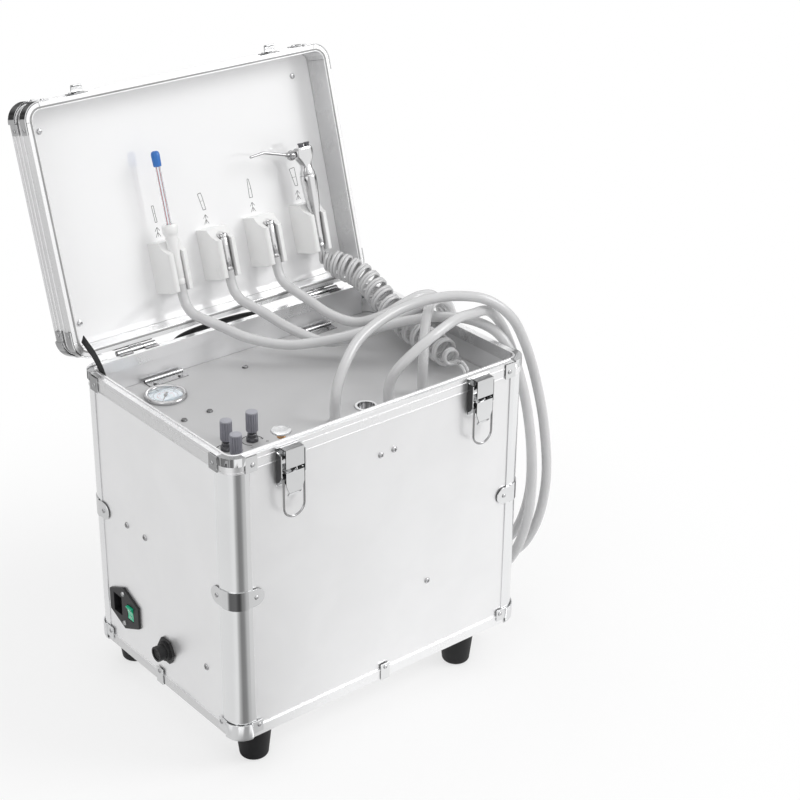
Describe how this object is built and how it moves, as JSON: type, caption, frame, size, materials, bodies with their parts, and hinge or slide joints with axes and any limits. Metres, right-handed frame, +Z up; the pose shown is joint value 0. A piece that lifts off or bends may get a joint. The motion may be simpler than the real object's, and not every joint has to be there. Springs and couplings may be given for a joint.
{
  "type": "portable dental unit",
  "caption": "Aluminium-edged case with a deck of air and water controls, an open lid holding dental instruments, and hoses over the rim.",
  "frame": {"origin": "middle of the open unit's footprint, on the surface its feet stand on", "axes": "+X to the right along the front, +Y to the back where the lid hangs, +Z up"},
  "size_m": [0.4948, 0.4356, 0.6895],
  "materials": {
    "panel": "satin",
    "post": "polished",
    "extrusion": "satin",
    "chromed_sheet": "polished",
    "fastener": "satin",
    "foot_rubber": "matte",
    "cast_alloy": "cast",
    "tank_paint": "painted",
    "bottle": "translucent",
    "black_plastic": "matte",
    "green_plastic": "glossy",
    "steel_wire": "polished",
    "deck_paint": "satin",
    "polished_steel": "polished",
    "dial_face": "matte",
    "clear_glass": "clear",
    "dark_metal": "satin",
    "knob_plastic": "matte",
    "copper_alloy": "machined",
    "button_aluminium": "polished",
    "grey_plastic": "matte",
    "lid_plastic": "glossy",
    "black_rubber": "matte",
    "white_plastic": "satin",
    "clear_tube": "translucent",
    "hose_rubber": "satin",
    "webbing": "woven"
  },
  "bodies": {
    "case": {"front_panel": "panel", "rear_panel": "panel", "left_panel": "panel", "right_panel": "panel", "floor_panel": "panel", "corner_posts": "post", "rim_frame": "extrusion", "base_frame": "extrusion", "corner_caps": "chromed_sheet", "straps_and_clips": "chromed_sheet", "case_fasteners": "fastener", "feet": "foot_rubber", "compressor": "cast_alloy", "air_tank": "tank_paint", "fluid_bottles": "bottle", "power_inlet": "black_plastic", "inlet_pins": "fastener", "footswitch_socket": "black_plastic", "latch_bases": "chromed_sheet", "hinge_leaves_case": "chromed_sheet", "hinge_pins": "steel_wire", "carry_handle": "black_plastic", "deck_panel": "deck_paint", "deck_hinges": "chromed_sheet", "gauge_bezel": "polished_steel", "gauge_dial": "dial_face", "gauge_glass": "clear_glass", "valve_stems": "dark_metal", "changeover_stem": "copper_alloy", "finger_cup": "polished_steel", "hose_grommets": "grey_plastic", "hose_suction": "hose_rubber", "hose_left": "hose_rubber", "hose_right": "hose_rubber", "curly_hose": "hose_rubber", "lid_stay": "webbing"},
    "lid": {"hinge_leaves_lid": "chromed_sheet", "lid_panel": "lid_plastic", "lid_frame": "extrusion", "lid_gasket": "black_rubber", "lid_corner_caps": "chromed_sheet", "lid_fittings": "fastener", "instrument_holders": "white_plastic", "hose_connectors": "polished_steel", "suction_handle": "white_plastic", "saliva_ejector": "clear_tube", "syringe_body": "polished_steel"},
    "latch_lever_left": {"latch_lever_left": "chromed_sheet"},
    "latch_lever_right": {"latch_lever_right": "chromed_sheet"},
    "latch_bail_left": {"latch_bail_left": "steel_wire"},
    "latch_bail_right": {"latch_bail_right": "steel_wire"},
    "knob_water_left": {"knob_water_left": "knob_plastic"},
    "knob_water_right": {"knob_water_right": "knob_plastic"},
    "knob_air": {"knob_air": "knob_plastic"},
    "changeover_button": {"changeover_button": "button_aluminium"},
    "gauge_needle": {"gauge_needle": "black_plastic"},
    "rocker_switch": {"rocker_switch": "green_plastic"},
    "syringe_nozzle": {"syringe_nozzle": "polished_steel"},
    "syringe_button_water": {"syringe_button_water": "dark_metal"},
    "syringe_button_air": {"syringe_button_air": "dark_metal"}
  },
  "joints": [
    {"name": "lid_hinge", "type": "hinge", "parent": "case", "child": "lid", "pos_m": [0.005, 0.0935, 0.396], "axis": [-1, 0, 0], "range_deg": [-106, 0], "deforming": ["hose_suction", "hose_left", "hose_right", "curly_hose", "lid_stay"]},
    {"name": "latch_lever_left_turn", "type": "hinge", "parent": "case", "child": "latch_lever_left", "pos_m": [-0.129, -0.2105, 0.366], "axis": [1, 0, 0], "range_deg": [-90, 0]},
    {"name": "latch_bail_left_swing", "type": "hinge", "parent": "latch_lever_left", "child": "latch_bail_left", "pos_m": [-0.129, -0.2135, 0.3585], "axis": [-1, 0, 0], "range_deg": [0, 178]},
    {"name": "latch_lever_right_turn", "type": "hinge", "parent": "case", "child": "latch_lever_right", "pos_m": [0.139, -0.2105, 0.366], "axis": [1, 0, 0], "range_deg": [-90, 0]},
    {"name": "latch_bail_right_swing", "type": "hinge", "parent": "latch_lever_right", "child": "latch_bail_right", "pos_m": [0.139, -0.2135, 0.3585], "axis": [-1, 0, 0], "range_deg": [0, 178]},
    {"name": "knob_water_left_turn", "type": "hinge", "parent": "case", "child": "knob_water_left", "pos_m": [-0.149, -0.118, 0.378], "axis": [0, 0, 1], "range_deg": [0, 270]},
    {"name": "knob_water_right_turn", "type": "hinge", "parent": "case", "child": "knob_water_right", "pos_m": [-0.115, -0.118, 0.378], "axis": [0, 0, 1], "range_deg": [0, 270]},
    {"name": "knob_air_turn", "type": "hinge", "parent": "case", "child": "knob_air", "pos_m": [-0.159, -0.151, 0.378], "axis": [0, 0, 1], "range_deg": [0, 270]},
    {"name": "changeover_push", "type": "slide", "parent": "case", "child": "changeover_button", "axis": [0, 0, -1], "range_m": [0, 0.005]},
    {"name": "gauge_needle_turn", "type": "hinge", "parent": "case", "child": "gauge_needle", "pos_m": [-0.13, 0.032, 0.359], "axis": [0, 0, -1], "range_deg": [0, 270]},
    {"name": "rocker_tip", "type": "hinge", "parent": "case", "child": "rocker_switch", "pos_m": [-0.2048, 0.01, 0.105], "axis": [0, 1, 0], "range_deg": [0, 20]},
    {"name": "nozzle_swivel", "type": "hinge", "parent": "lid", "child": "syringe_nozzle", "pos_m": [0.145, 0.14963, 0.55728], "axis": [-0.9613, 0.076, 0.265], "continuous": true},
    {"name": "water_button_press", "type": "slide", "parent": "lid", "child": "syringe_button_water", "axis": [0, -0.2756, -0.9613], "range_m": [0, 0.0015], "stiffness_N_per_m": 400},
    {"name": "air_button_press", "type": "slide", "parent": "lid", "child": "syringe_button_air", "axis": [0, -0.2756, -0.9613], "range_m": [0, 0.0015], "stiffness_N_per_m": 400}
  ]
}
